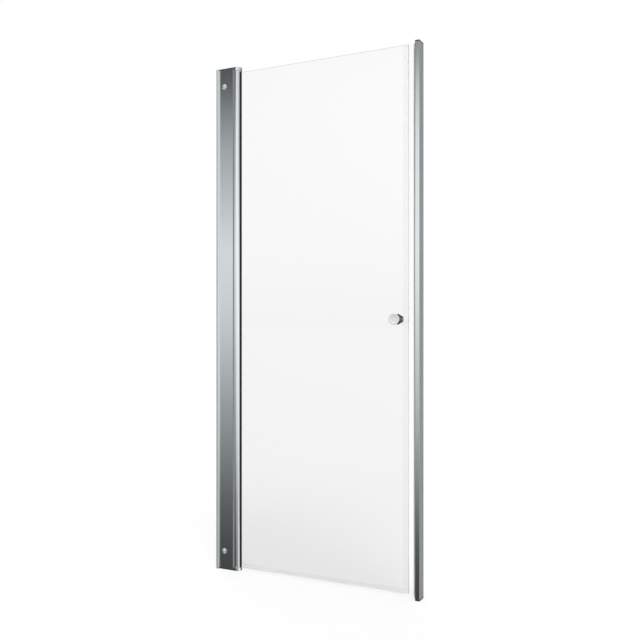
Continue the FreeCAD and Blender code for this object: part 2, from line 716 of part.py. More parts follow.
def strike_wall_profile():
    """Extrusion on the wall: a front leg with a return lip and a longer rear leg."""
    wall = d.profile_wall
    lip_inner = d.strike_leg - wall
    steps = [line_to(0, half_depth), line_to(-d.strike_rear_leg, half_depth),
             line_to(-d.strike_rear_leg, inside_face)]
    steps += rounded(-wall, inside_face, d.inner_round, (1, 0), (0, -1))
    steps += rounded(-wall, -inside_face, d.inner_round, (0, -1), (-1, 0))
    steps += rounded(-lip_inner, -inside_face, d.inner_round, (-1, 0), (0, 1))
    steps += [line_to(-lip_inner, -half_depth + d.strike_lip),
              line_to(-d.strike_leg, -half_depth + d.strike_lip)]
    steps += rounded(-d.strike_leg, -half_depth, d.edge_round, (0, -1), (1, 0))
    steps += [line_to(0, -half_depth)]
    body = new_body("strike_wall_profile")
    section = new_sketch(body, "Section")
    draw(section, steps)
    pad(body, section, strike_length, both_ways=True)
    insert_screw_holes(body, inside_face)
    wall_holes(body, d.strike_hole_setback - half_depth, strike_middle)
    node(body, "strike_wall_profile", x=d.door_width, z=strike_middle)


def strike_insert_profile():
    """Box extrusion in the strike profile, with a slot for the magnet housing's foot."""
    wall = d.profile_wall
    rear = inside_face - d.slide_gap
    front = d.insert_front
    slot_half = d.foot_neck / 2 + d.slide_gap
    near, far = slot_half - foot_middle, -slot_half - foot_middle
    left, right = -d.insert_reach, -d.insert_start
    steps = [line_to(near, front), line_to(right, front), line_to(right, rear),
             line_to(left, rear), line_to(left, front), line_to(far, front),
             line_to(far, front + wall), line_to(left + wall, front + wall),
             line_to(left + wall, rear - wall), line_to(right - wall, rear - wall),
             line_to(right - wall, front + wall), line_to(near, front + wall)]
    body = new_body("strike_insert_profile")
    section = new_sketch(body, "Section")
    draw(section, steps)
    pad(body, section, strike_length, both_ways=True)
    insert_screw_holes(body, rear - wall)
    node(body, "strike_insert_profile", x=d.door_width, z=strike_middle)


def magnet_strip(label, front, length, low):
    """Flat magnet strip inside a housing."""
    strip = doc.addObject("Part::Box", object_name(label))
    inset = d.housing_wall + d.magnet_fit
    bind(strip, "Length", d.housing_width - inset * 2)
    bind(strip, "Width", d.magnet_depth)
    bind(strip, "Height", length)
    node(strip, label, housing_start + inset, front, low)


def strike_magnet():
    """Plastic strip with a foot in the insert's slot, and the magnet inside it."""
    face = d.housing_face + d.magnet_gap
    back = d.insert_front
    foot_front = back + d.profile_wall + d.slide_gap
    foot_rear = foot_front + d.foot_height
    left = -d.insert_reach
    right = left + d.housing_width
    neck, foot = d.foot_neck / 2, d.foot_width / 2
    steps = [line_to(left, face), line_to(right, face), line_to(right, back),
             line_to(neck - foot_middle, back), line_to(neck - foot_middle, foot_front),
             line_to(foot - foot_middle, foot_front), line_to(foot - foot_middle, foot_rear),
             line_to(-foot - foot_middle, foot_rear), line_to(-foot - foot_middle, foot_front),
             line_to(-neck - foot_middle, foot_front), line_to(-neck - foot_middle, back),
             line_to(left, back)]
    body = new_body("strike_magnet_housing")
    section = new_sketch(body, "Section")
    draw(section, steps)
    chamber = face + d.housing_wall
    depth = d.magnet_depth + d.magnet_fit * 2
    draw_box(section, left + d.housing_wall, chamber, right - d.housing_wall, chamber + depth)
    pad(body, section, strike_length, both_ways=True)
    node(body, "strike_magnet_housing", x=d.door_width, z=strike_middle)
    magnet_strip("strike_magnet", chamber + d.magnet_fit, strike_length, lower_cut)


def strike_profile_cap(label, z, upper):
    """Cap over the cut ends of the strike profile and its insert."""
    body = new_body(label)
    steps = [line_to(0, half_depth), line_to(-d.insert_reach, half_depth),
             line_to(-d.insert_reach, d.insert_front), line_to(-d.strike_leg, d.insert_front)]
    steps += rounded(-d.strike_leg, -half_depth, d.edge_round, (0, -1), (1, 0))
    steps += [line_to(0, -half_depth)]
    section = new_sketch(body, "Section")
    draw(section, steps)
    pad(body, section, d.end_cap_height, backwards=not upper)
    tab = new_sketch(body, "Tab")
    tab_start = d.profile_wall + d.slide_gap
    draw_box(tab, tab_start - d.strike_leg, -half_depth + d.strike_lip,
             -tab_start, d.insert_front - d.slide_gap)
    pad(body, tab, d.cap_tab_length, backwards=upper)
    node(body, label, x=d.door_width, z=z)


# Door leaf
def hinge_post():
    """Round extrusion with the glass channel, a hollow and two screw ports."""
    mouth = chord(d.post_radius, channel_half)
    hollow = d.post_radius - d.post_wall
    body = new_body("hinge_post")
    section = new_sketch(body, "Section")
    draw(section, [line_to(d.post_web, channel_half), line_to(mouth, channel_half),
                   arc_to(mouth, -channel_half, 0, 0, True),
                   line_to(d.post_web, -channel_half)])
    draw(section, [arc_to(0, -hollow, 0, 0, True), line_to(0, hollow)], "h")
    pad(body, section, post_length, both_ways=True)
    ports = new_sketch(body, "Ports")
    for tag, y in (("front", -d.port_place), ("rear", d.port_place)):
        draw_circle(ports, -d.port_place, y, d.port_radius, tag)
        draw_circle(ports, -d.port_place, y, d.port_bore, tag + "_bore")
    pad(body, ports, post_length, both_ways=True)
    node(body, "hinge_post", x=d.axis_offset, z=hinge_middle)


def pivot_plug(label, z, upper):
    """End plug of the post: spigot in the hollow, flange and pivot stub.

    The lower flange is slotted for the glass, which ends below the post.
    """
    body = new_body(label)
    flange = new_sketch(body, "Flange")
    draw_circle(flange, 0, 0, d.post_radius)
    pad(body, flange, d.flange_height, backwards=not upper)
    spigot = new_sketch(body, "Spigot")
    reach = chord(d.post_radius - d.post_wall, d.spigot_half) - d.slide_gap
    draw_box(spigot, -reach, -d.spigot_half, -d.slide_gap, d.spigot_half)
    pad(body, spigot, d.spigot_length, backwards=upper)
    face = d.flange_height if upper else -d.flange_height
    stub = new_sketch(body, "Stub", offset=face)
    draw_circle(stub, 0, 0, d.pivot_radius)
    pad(body, stub, d.pivot_length, backwards=not upper)
    if not upper:
        slot = new_sketch(body, "GlassSlot")
        draw_box(slot, d.post_web, -channel_half, d.post_radius + d.cut_overrun, channel_half)
        pocket(body, slot, d.glass_drop + d.slide_gap)
    seat_depth = d.plug_head_height + d.slide_gap
    cuts = (("HeadSeat", d.plug_head_radius + d.thread_gap, seat_depth),
            ("ScrewHole", d.port_bore, d.flange_height))
    for name, radius, depth in cuts:
        sketch = new_sketch(body, name, offset=face)
        draw_circle(sketch, -d.port_place, -d.port_place, radius, "front")
        draw_circle(sketch, -d.port_place, d.port_place, radius, "rear")
        pocket(body, sketch, depth, backwards=not upper)
    node(body, label, x=d.axis_offset, z=z)


def plug_screws():
    """Two screws per plug, through its flange into the post's screw ports."""
    screws = []
    under_head = d.flange_height - d.plug_head_height - d.slide_gap
    for tag, rotation, z in (("Low", HEAD_DOWN, post_low - under_head),
                             ("High", HEAD_UP, post_high + under_head)):
        for side, y in (("Front", -d.port_place), ("Rear", d.port_place)):
            piece = screw(f"PlugScrew{tag}{side}", d.plug_screw_radius, d.plug_screw_length,
                          d.plug_head_radius, d.plug_head_height)
            screws.append(put(piece, rotation, d.axis_offset - d.port_place, y, z))
    group("plug_screws", screws)


def glazing_gasket():
    """Black U gasket round the glass edge, with a lip in front of the post's mouth."""
    lip = half_glass + d.gasket_lip_height
    bevel = gasket_end - d.gasket_bevel
    body = new_body("glazing_gasket")
    section = new_sketch(body, "Section")
    draw(section, [line_to(d.post_web, -channel_half), line_to(gasket_front, -channel_half),
                   line_to(gasket_front, -lip), line_to(bevel, -lip),
                   line_to(gasket_end, -half_glass), line_to(glass_start, -half_glass),
                   line_to(glass_start, half_glass), line_to(gasket_end, half_glass),
                   line_to(bevel, lip), line_to(gasket_front, lip),
                   line_to(gasket_front, channel_half), line_to(d.post_web, channel_half)])
    pad(body, section, glass_height, both_ways=True)
    node(body, "glazing_gasket", x=d.axis_offset, z=glass_middle)


def glass_panel():
    """Toughened glass with a ground edge all round and the knob's hole."""
    body = new_body("glass_panel")
    panel = new_sketch(body, "Panel", "XZ_Plane")
    rise = glass_height / 2
    draw_box(panel, glass_start, -rise, glass_end - d.axis_offset, rise)
    pad(body, panel, d.glass_thickness, both_ways=True)
    bevel(body, d.glass_edge, lambda point: point.y != 0)
    hole = new_sketch(body, "KnobHole", "XZ_Plane")
    draw_circle(hole, knob_place - d.axis_offset, 0, d.knob_hole_radius)
    pocket(body, hole, d.glass_thickness + d.cut_overrun, both_ways=True)
    node(body, "glass_panel", x=d.axis_offset, z=glass_middle)


def magnetic_seal():
    """Clear clip-on strip of the closing edge, its magnet housing in front of the strike's."""
    clip = half_glass + d.seal_wall
    clip_start = glass_end - d.seal_clip
    clip_end = glass_end + d.seal_wall
    back = d.housing_face - d.housing_depth
    arm = back + d.seal_arm
    body = new_body("magnetic_seal")
    section = new_sketch(body, "Section")
    draw(section, [line_to(clip_start, -clip), line_to(clip_end, -clip), line_to(clip_end, back),
                   line_to(housing_end, back), line_to(housing_end, d.housing_face),
                   line_to(housing_start, d.housing_face), line_to(housing_start, arm),
                   line_to(clip_end, arm), line_to(clip_end, clip), line_to(clip_start, clip),
                   line_to(clip_start, half_glass), line_to(glass_end, half_glass),
                   line_to(glass_end, -half_glass), line_to(clip_start, -half_glass)])
    depth = d.magnet_depth + d.magnet_fit * 2
    chamber = d.housing_face - d.housing_wall - depth
    draw_box(section, housing_start + d.housing_wall, chamber,
             housing_end - d.housing_wall, chamber + depth)
    pad(body, section, glass_height, both_ways=True)
    node(body, "magnetic_seal", z=glass_middle)
    magnet_strip("seal_magnet", chamber + d.magnet_fit, glass_height, glass_low)


def drip_seal():
    """Clear clip-on strip under the glass: an upright fin and one slanted inwards."""
    clip = half_glass + d.seal_wall
    fin = d.drip_fin / 2
    start = d.axis_offset + gasket_end + d.drip_end_gap
    end = glass_end - d.seal_clip - d.drip_end_gap
    body = new_body("drip_seal")
    section = new_sketch(body, "Section", "YZ_Plane")
    draw(section, [line_to(-clip, d.drip_clip), line_to(-clip, -d.seal_wall),
                   line_to(-fin, -d.seal_wall), line_to(-fin, -d.drip_reach),
                   line_to(fin, -d.drip_reach), line_to(fin, -d.seal_wall),
                   line_to(clip, -d.seal_wall), line_to(clip, 0),
                   line_to(clip + d.drip_wing, -d.drip_wing),
                   line_to(clip + d.drip_wing, d.drip_fin - d.drip_wing),
                   line_to(clip, d.drip_fin), line_to(clip, d.drip_clip),
                   line_to(half_glass, d.drip_clip), line_to(half_glass, 0),
                   line_to(-half_glass, 0), line_to(-half_glass, d.drip_clip)])
    pad(body, section, end - start)
    node(body, "drip_seal", x=start, z=glass_low)


def turned_knob(label, outline):
    """Turn a knob about its own axis, which lies along Y through the hole in the glass."""
    body = new_body(label)
    section = new_sketch(body, "Section")
    draw(section, outline)
    turn(body, section)
    node(body, label, x=knob_place, z=glass_middle)


def knobs():
    """Outer knob with a neck and a dished face, a plain one inside, and their stud."""
    seat = half_glass + d.knob_washer_height
    bore = d.stud_radius + d.thread_gap
    bore_end = seat + d.stud_grip + d.slide_gap
    shoulder = seat + d.knob_neck
    face = shoulder + d.knob_length
    rim = d.knob_radius - d.knob_bevel - d.knob_rim
    outline = [line_to(bore, -seat), line_to(bore, -bore_end), line_to(0, -bore_end),
               line_to(0, d.knob_dish - face), line_to(rim - d.knob_dish, d.knob_dish - face),
               line_to(rim, -face)]
    outline += bevelled(d.knob_radius, -face, d.knob_bevel, (1, 0), (0, 1))
    outline += bevelled(d.knob_radius, -shoulder, d.knob_bevel, (0, 1), (-1, 0))
    outline += [line_to(d.knob_neck_radius, -shoulder), line_to(d.knob_neck_radius, -seat)]
    turned_knob("knob_outer", outline)
    end = seat + d.inner_knob_length
    outline = [line_to(d.inner_knob_radius, seat)]
    outline += bevelled(d.inner_knob_radius, end, d.knob_bevel, (0, 1), (-1, 0))
    outline += [line_to(0, end), line_to(0, bore_end), line_to(bore, bore_end), line_to(bore, seat)]
    turned_knob("knob_inner", outline)
    length = (seat + d.stud_grip) * 2
    stud = cylinder("KnobStud", d.stud_radius, length)
    put(stud, HEAD_INSIDE)
    node(stud, "knob_stud", knob_place, -length / 2, glass_middle)


def knob_packing():
    """Clear washers on both faces of the glass, and a sleeve in its hole."""
    hole = d.stud_radius + d.thread_gap
    washers = []
    for side, rotation, y in (("Out", HEAD_OUTSIDE, -half_glass), ("In", HEAD_INSIDE, half_glass)):
        disc = cylinder(f"KnobWasher{side}Disc", d.knob_washer_radius, d.knob_washer_height)
        washer = drilled(f"KnobWasher{side}", disc, hole, d.knob_washer_height)
        washers.append(put(washer, rotation, knob_place, y, glass_middle))
    group("knob_washers", washers)
    tube = cylinder("KnobSleeveTube", d.knob_hole_radius - d.thread_gap, d.glass_thickness)
    sleeve = drilled("KnobSleeve", tube, hole, d.glass_thickness)
    put(sleeve, HEAD_INSIDE)
    node(sleeve, "knob_sleeve", knob_place, -half_glass, glass_middle)


# Build
hinge_wall_profile()
hinge_carrier_profile()
hinge_profile_cap("hinge_profile_cap_top", hinge_cut, True)
hinge_profile_cap("hinge_profile_cap_bottom", lower_cut, False)
hinge_bracket("hinge_bracket_top", hinge_cut, True)
hinge_bracket("hinge_bracket_bottom", lower_cut, False)
hinge_bush("hinge_bush_top", hinge_cut - cap_sink, True)
hinge_bush("hinge_bush_bottom", lower_cut + cap_sink, False)
post_wiper_seals()
adjusters()
fixing_screws()
strike_wall_profile()
strike_insert_profile()
strike_magnet()
strike_profile_cap("strike_profile_cap_top", strike_cut, True)
strike_profile_cap("strike_profile_cap_bottom", lower_cut, False)
hinge_post()
pivot_plug("pivot_plug_top", post_high, True)
pivot_plug("pivot_plug_bottom", post_low, False)
plug_screws()
glazing_gasket()
glass_panel()
magnetic_seal()
drip_seal()
knobs()
knob_packing()
doc.recompute()

# Checks and export
for item in doc.Objects:
    if "Invalid" in item.State or "Error" in item.State:
        raise RuntimeError(f"{item.Name} is {item.State}")
os.makedirs("parts", exist_ok=True)
for item in nodes:
    if item.Shape.isNull() or not item.Shape.isValid():
        raise RuntimeError(f"{item.Label} has no valid shape")
    item.Shape.exportStep(f"parts/{item.Label}.step")
    extent = item.Shape.BoundBox
    print(f"{item.Label}: {len(item.Shape.Solids)} solids, {item.Shape.Volume:.0f} mm3, "
          f"x {extent.XMin:.1f}..{extent.XMax:.1f} y {extent.YMin:.1f}..{extent.YMax:.1f} "
          f"z {extent.ZMin:.1f}..{extent.ZMax:.1f}")
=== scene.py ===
"""Looks of the pivot shower door: finishes, rounded and turned pieces, light and camera."""

import json
import math

import bmesh
import bpy
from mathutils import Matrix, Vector


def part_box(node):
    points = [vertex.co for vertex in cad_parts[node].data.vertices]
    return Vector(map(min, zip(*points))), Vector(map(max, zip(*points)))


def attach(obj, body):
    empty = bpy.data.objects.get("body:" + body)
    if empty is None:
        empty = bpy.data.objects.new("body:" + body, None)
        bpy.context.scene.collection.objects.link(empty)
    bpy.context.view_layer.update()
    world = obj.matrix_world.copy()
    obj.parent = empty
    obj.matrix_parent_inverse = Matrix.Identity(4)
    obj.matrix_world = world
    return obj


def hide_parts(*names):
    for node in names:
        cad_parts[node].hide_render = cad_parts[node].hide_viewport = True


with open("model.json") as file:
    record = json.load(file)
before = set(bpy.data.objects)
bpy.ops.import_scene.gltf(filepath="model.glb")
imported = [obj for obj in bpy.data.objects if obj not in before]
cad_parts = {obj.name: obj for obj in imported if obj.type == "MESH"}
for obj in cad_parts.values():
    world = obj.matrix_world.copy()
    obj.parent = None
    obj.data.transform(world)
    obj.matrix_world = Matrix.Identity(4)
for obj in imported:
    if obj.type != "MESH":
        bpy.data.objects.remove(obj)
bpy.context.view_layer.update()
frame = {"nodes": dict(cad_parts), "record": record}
MM = 0.001
OUTSIDE, INSIDE = -1, 1  # the way a piece points along Y


# Colours and nodes
def linear(code):
    """An sRGB hex colour as linear values."""
    parts = [int(code[i:i + 2], 16) / 255 for i in (1, 3, 5)]
    values = [p / 12.92 if p <= 0.04045 else ((p + 0.055) / 1.055) ** 2.4 for p in parts]
    return (*values, 1.0)


def add(tree, kind, settings=None, marks=(), **links):
    """Add a node with its settings and links.

    A link is a plain value or an output socket. It is named for its input, with _ for a space, or
    for the input's number where names repeat: in a Mix, i0 is the share and i6 and i7 the colours.
    Marks are the (place, grey) stops of a ramp, its two ends first.
    """
    made = tree.nodes.new(kind)
    for name, value in (settings or {}).items():
        setattr(made, name, value)
    for index, (place, grey) in enumerate(marks):
        stop = made.color_ramp.elements[index] if index < 2 else made.color_ramp.elements.new(place)
        stop.position = place
        stop.color = (grey, grey, grey, 1.0)
    for name, value in links.items():
        numbered = name[0] == "i" and name[1:].isdigit()
        socket = made.inputs[int(name[1:]) if numbered else name.replace("_", " ")]
        if isinstance(value, bpy.types.NodeSocket):
            tree.links.new(value, socket)
        else:
            socket.default_value = value
    return made


def new_finish(name, **values):
    """A material with one Principled shader; its tree and shader come back too."""
    finish = bpy.data.materials.new(name)
    finish.use_nodes = True
    shader = finish.node_tree.nodes["Principled BSDF"]
    for key, value in values.items():
        shader.inputs[key.replace("_", " ")].default_value = value
    return finish, finish.node_tree, shader


def along_grain(tree, across_mm, along_mm, detail=2.0):
    """Noise drawn out along Z, as a die leaves it on an extrusion."""
    place = add(tree, "ShaderNodeTexCoord").outputs["Object"]
    scale = (1000 / across_mm, 1000 / across_mm, 1000 / along_mm)
    stretched = add(tree, "ShaderNodeMapping", Vector=place, Scale=scale)
    return add(tree, "ShaderNodeTexNoise", Vector=stretched.outputs["Vector"], Scale=1.0,
               Detail=detail).outputs["Fac"]


# Finishes
def drawn_metal(name, tone, rough_low, rough_high, relief):
    """Metal polished after drawing: faint lines along its length break its mirror images up.

    Real lines are some tenths of a millimetre wide; they are drawn 1.6 mm wide so that they show.
    """
    finish, tree, shader = new_finish(name, Base_Color=linear(tone), Metallic=1.0)
    lines = along_grain(tree, across_mm=1.6, along_mm=900, detail=3.0)
    spread = add(tree, "ShaderNodeMapRange", Value=lines, To_Min=rough_low, To_Max=rough_high)
    tree.links.new(spread.outputs["Result"], shader.inputs["Roughness"])
    bump = add(tree, "ShaderNodeBump", Strength=relief, Distance=0.2 * MM, Height=lines)
    tree.links.new(bump.outputs["Normal"], shader.inputs["Normal"])
    return finish


def satin_front():
    """Anodised wall profile: satin front and back look evenly pale, the faces between mirror."""
    finish, tree, shader = new_finish("satin_anodised_aluminium", Base_Color=linear("#EAF0F1"),
                                      Metallic=1.0)
    facing = add(tree, "ShaderNodeTexCoord").outputs["Normal"]
    axes = add(tree, "ShaderNodeSeparateXYZ", Vector=facing)
    across = add(tree, "ShaderNodeMath", {"operation": "ABSOLUTE"}, i0=axes.outputs["Y"])
    rough = add(tree, "ShaderNodeMapRange", Value=across.outputs[0], From_Min=0.55, From_Max=0.9,
                To_Min=0.12, To_Max=0.42)
    tree.links.new(rough.outputs["Result"], shader.inputs["Roughness"])
    return finish


def chrome_plate():
    """Chrome plate on polished die castings: mirror bright, with a trace of orange peel."""
    finish, tree, shader = new_finish("polished_chrome_plate", Base_Color=linear("#F2F3F4"),
                                      Metallic=1.0, Roughness=0.06)
    ripple_mm = 20 / 9
    place = add(tree, "ShaderNodeTexCoord").outputs["Object"]
    peel = add(tree, "ShaderNodeTexNoise", Vector=place, Scale=1000 / ripple_mm, Detail=1.0)
    bump = add(tree, "ShaderNodeBump", Strength=0.02, Distance=0.2 * MM,
               Height=peel.outputs["Fac"])
    tree.links.new(bump.outputs["Normal"], shader.inputs["Normal"])
    return finish


def toughened_glass():
    """Clear float glass, toughened: a breath of grey, and mirror images bent by roller waves."""
    finish, tree, shader = new_finish("clear_toughened_glass", Base_Color=linear("#F7F8F7"),
                                      Roughness=0.0, IOR=1.52, Transmission_Weight=1.0)
    wave_mm = 250
    place = add(tree, "ShaderNodeTexCoord").outputs["Object"]
    waves = add(tree, "ShaderNodeTexNoise", Vector=place, Scale=1000 / wave_mm, Detail=0.0)
    bump = add(tree, "ShaderNodeBump", Strength=0.01, Distance=1 * MM, Height=waves.outputs["Fac"])
    tree.links.new(bump.outputs["Normal"], shader.inputs["Normal"])
    return finish


def fine_grain(name, tone, rough, grain_mm, relief):
    """Moulded or extruded plastic and rubber: a fine grain that softens the shine.

    The real grain is about a fifth of this, too fine to show even from near.
    """
    finish, tree, shader = new_finish(name, Base_Color=linear(tone), Roughness=rough)
    place = add(tree, "ShaderNodeTexCoord").outputs["Object"]
    grain = add(tree, "ShaderNodeTexNoise", Vector=place, Scale=1000 / grain_mm, Detail=2.0)
    bump = add(tree, "ShaderNodeBump", Strength=relief, Distance=0.1 * MM,
               Height=grain.outputs["Fac"])
    tree.links.new(bump.outputs["Normal"], shader.inputs["Normal"])
    return finish


def clear_vinyl():
    """Soft clear PVC, extruded: glossy and nearly invisible face on, milky seen edge on."""
    finish, tree, shader = new_finish("extruded_clear_pvc", Base_Color=linear("#FBFCFC"), IOR=1.53)
    lines = along_grain(tree, across_mm=2.5, along_mm=400)
    spread = add(tree, "ShaderNodeMapRange", Value=lines, To_Min=0.12, To_Max=0.3)
    tree.links.new(spread.outputs["Result"], shader.inputs["Roughness"])
    edge = add(tree, "ShaderNodeLayerWeight", Blend=0.35)
    body = add(tree, "ShaderNodeMapRange", Value=edge.outputs["Facing"], To_Min=0.03, To_Max=0.16)
    tree.links.new(body.outputs["Result"], shader.inputs["Alpha"])
    return finish


# Profiles: a pale, slightly cool mirror with soft images
bright_extrusion = drawn_metal("bright_anodised_aluminium", "#E4EAEC", 0.08, 0.16, 0.12)
satin_extrusion = satin_front()
# Screws and washers: a warmer and softer shine than the profiles'
steel = drawn_metal("turned_stainless_steel", "#F0F0EE", 0.14, 0.24, 0.1)
chrome = chrome_plate()
glass = toughened_glass()
# Gasket: dull and black, so the post ends in a dark line
rubber = fine_grain("extruded_black_epdm", "#141414", 0.55, 0.8, 0.3)
# End caps: black with a low sheen on their grain
plastic = fine_grain("moulded_black_polyamide", "#1A1A1B", 0.42, 0.5, 0.4)
vinyl = clear_vinyl()
# Wiper seals: a matt mid grey between plate and post
wiper_grey = fine_grain("extruded_grey_tpe", "#AEB0B2", 0.5, 0.8, 0.2)
# Bushes and sleeve: a smooth, slightly waxy white
acetal = fine_grain("moulded_white_acetal", "#E9E8E2", 0.3, 1.0, 0.1)
# Magnet strips: flat white, so they don't show through the clear seal
ferrite = fine_grain("extruded_white_magnet_strip", "#E9E9E7", 0.5, 0.6, 0.3)

FINISH_OF_SLOT = {
    "bright_aluminium": bright_extrusion,
    "chrome": chrome,
    "clear_glass": glass,
    "black_rubber": rubber,
    "black_plastic": plastic,
    "clear_pvc": vinyl,
    "white_acetal": acetal,
    "magnet": ferrite,
    "stainless_steel": steel,
}
OWN_FINISH = {"hinge_wall_profile": satin_extrusion, "post_wiper_seals": wiper_grey}
SLOT_OF_NODE = {part["node"]: part["material_slot"] for part in frame["record"]["subparts"]}
BODY_OF_NODE = {node: body for body, members in frame["record"]["behaviour"]["bodies"].items()
                for node in members}
for node, slot in SLOT_OF_NODE.items():
    mesh = frame["nodes"][node].data
    mesh.materials.clear()
    mesh.materials.append(FINISH_OF_SLOT[slot])

# Modelling by hand
SHARP_EDGE, TURNED_EDGE = 40, 35  # degrees between two faces from which an edge stays crisp
SAME_POINT = 0.001 * MM
FLAT_WITHIN = 0.5  # degrees
END_FACE = 0.9  # a normal with this share along Y belongs to the end of a turned piece
# Domed screw head, from its seat up: shares of its height and radius
PAN_DOME = ((0, 0.97), (0.12, 1), (0.3, 1), (0.55, 0.89), (0.78, 0.68), (0.93, 0.42), (1, 0.16))


def only(*pieces):
    """Select just these pieces, the first of them active."""
    bpy.ops.object.select_all(action="DESELECT")
    for piece in pieces:
        piece.select_set(True)
    bpy.context.view_layer.objects.active = pieces[0]


def pick_faces(piece, wanted):
    """In edit mode, select only the faces whose normal passes the test."""
    bpy.ops.mesh.select_mode(type="FACE")
    bpy.ops.mesh.select_all(action="DESELECT")
    shape = bmesh.from_edit_mesh(piece.data)
    for face in shape.faces:
        face.select_set(wanted(face.normal))
    bmesh.update_edit_mesh(piece.data)


def apply_modifier(piece, kind, **settings):
    """Add a modifier with its settings and apply it."""
    made = piece.modifiers.new(kind.lower(), kind)
    for name, value in settings.items():
        setattr(made, name, value)
    only(piece)
    bpy.ops.object.modifier_apply(modifier=made.name)


def smooth(piece, crisp_from):
    """Shade a piece smoothly between the edges that are this sharp, in degrees."""
    only(piece)
    bpy.ops.object.shade_smooth_by_angle(angle=math.radians(crisp_from))


def round_edges(piece, width, segments):
    """Round the piece's sharp edges; weighted normals keep its flat faces flat to the eye."""
    apply_modifier(piece, "BEVEL", width=width, segments=segments, limit_method="ANGLE",
                   angle_limit=math.radians(SHARP_EDGE), use_clamp_overlap=False)
    smooth(piece, SHARP_EDGE)
    apply_modifier(piece, "WEIGHTED_NORMAL", mode="FACE_AREA", weight=100, keep_sharp=True)


def finish_piece(piece, node):
    """Give a piece its CAD node's place in the door and that node's finish."""
    slot = SLOT_OF_NODE[node]
    piece.data.materials.clear()
    piece.data.materials.append(OWN_FINISH.get(node, FINISH_OF_SLOT[slot]))
    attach(piece, BODY_OF_NODE[node])
    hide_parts(node)


def eased(node, width):
    """The CAD shape of a node with its corners eased and its round faces smooth."""
    piece = bpy.data.objects.new(node + "_eased", frame["nodes"][node].data.copy())
    bpy.context.scene.collection.objects.link(piece)
    only(piece)
    bpy.ops.object.mode_set(mode="EDIT")
    bpy.ops.mesh.select_all(action="SELECT")
    bpy.ops.mesh.remove_doubles(threshold=SAME_POINT)
    bpy.ops.mesh.dissolve_limited(angle_limit=math.radians(FLAT_WITHIN))
    bpy.ops.object.mode_set(mode="OBJECT")
    round_edges(piece, width, segments=2)
    finish_piece(piece, node)


def turned(name, foot, towards, steps, segments):
    """A round piece about an axis along Y, raised ring by ring from its foot.

    Each step is (distance from the foot, radius); the foot's own ring comes first.
    """
    (start, start_radius), (stop, radius) = steps[:2]
    bpy.ops.object.select_all(action="DESELECT")
    bpy.ops.mesh.primitive_cylinder_add(
        vertices=segments, radius=start_radius, depth=stop - start,
        location=foot + Vector((0, towards * (start + stop) / 2, 0)), rotation=(math.pi / 2, 0, 0))
    piece = bpy.context.object
    piece.name = name
    bpy.ops.object.transform_apply(location=True, rotation=True, scale=True)
    bpy.ops.object.mode_set(mode="EDIT")
    pick_faces(piece, lambda normal: normal.y * towards > END_FACE)
    change = radius / start_radius
    bpy.ops.transform.resize(value=(change, 1, change), center_override=foot)
    for (low, before), (high, after) in zip(steps[1:], steps[2:]):
        rise = (0, towards * (high - low), 0)
        bpy.ops.mesh.extrude_region_move(TRANSFORM_OT_translate={"value": rise})
        change = after / before
        bpy.ops.transform.resize(value=(change, 1, change), center_override=foot)
    bpy.ops.object.mode_set(mode="OBJECT")
    return piece


def cut_away(piece, punch):
    """Cut a punch out of a piece and throw the punch away."""
    apply_modifier(piece, "BOOLEAN", object=punch, operation="DIFFERENCE", solver="EXACT")
    bpy.data.objects.remove(punch)


def bored(piece, axis, radius, low, high):
    """Bore a hole along Y through a piece."""
    bpy.ops.object.select_all(action="DESELECT")
    bpy.ops.mesh.primitive_cylinder_add(
        vertices=48, radius=radius, depth=high - low,
        location=(axis.x, (low + high) / 2, axis.z), rotation=(math.pi / 2, 0, 0))
    cut_away(piece, bpy.context.object)


def cross_recess(piece, face, towards, length, width, depth):
    """Cut the driver's cross into a screw head with two crossed, tapered punches.

    A punch is centred on the face, so it is twice as long as the recess is deep.
    """
    taper = 0.6
    for along, across in ((length, width), (width, length)):
        bpy.ops.object.select_all(action="DESELECT")
        bpy.ops.mesh.primitive_cube_add(size=1, location=face, scale=(along, depth * 2, across))
        punch = bpy.context.object
        bpy.ops.object.transform_apply(location=True, rotation=True, scale=True)
        bpy.ops.object.mode_set(mode="EDIT")
        pick_faces(punch, lambda normal: normal.y * towards < -END_FACE)
        bpy.ops.transform.resize(value=(taper, 1, taper), center_override=face)
        bpy.ops.object.mode_set(mode="OBJECT")
        cut_away(piece, punch)


def pan_screw(name, seat, towards, head_radius, head_height, shank_radius, shank_length):
    """Pan head screw: a shank, a domed head on the seat and a driver's cross."""
    steps = [(0, shank_radius * 0.8), (shank_radius * 0.4, shank_radius),
             (shank_length, shank_radius)]
    steps += [(shank_length + head_height * up, head_radius * out) for up, out in PAN_DOME]
    piece = turned(name, seat - Vector((0, towards * shank_length, 0)), towards, steps, segments=48)
    face = seat + Vector((0, towards * head_height, 0))
    cross_recess(piece, face, towards, length=head_radius * 1.2, width=head_radius * 0.34,
                 depth=head_height * 0.75)
    return piece


def finish_row(piece, levels, node):
    """Shade a piece, copy it to further heights, join the copies and finish them as one."""
    smooth(piece, TURNED_EDGE)
    first = levels[0]
    copies = []
    for level in levels[1:]:
        copy = bpy.data.objects.new(piece.name + "_copy", piece.data.copy())
        bpy.context.scene.collection.objects.link(copy)
        copy.location.z = level - first
        only(copy)
        bpy.ops.object.transform_apply(location=True, rotation=False, scale=False)
        copies.append(copy)
    only(piece, *copies)
    bpy.ops.object.join()
    finish_piece(piece, node)


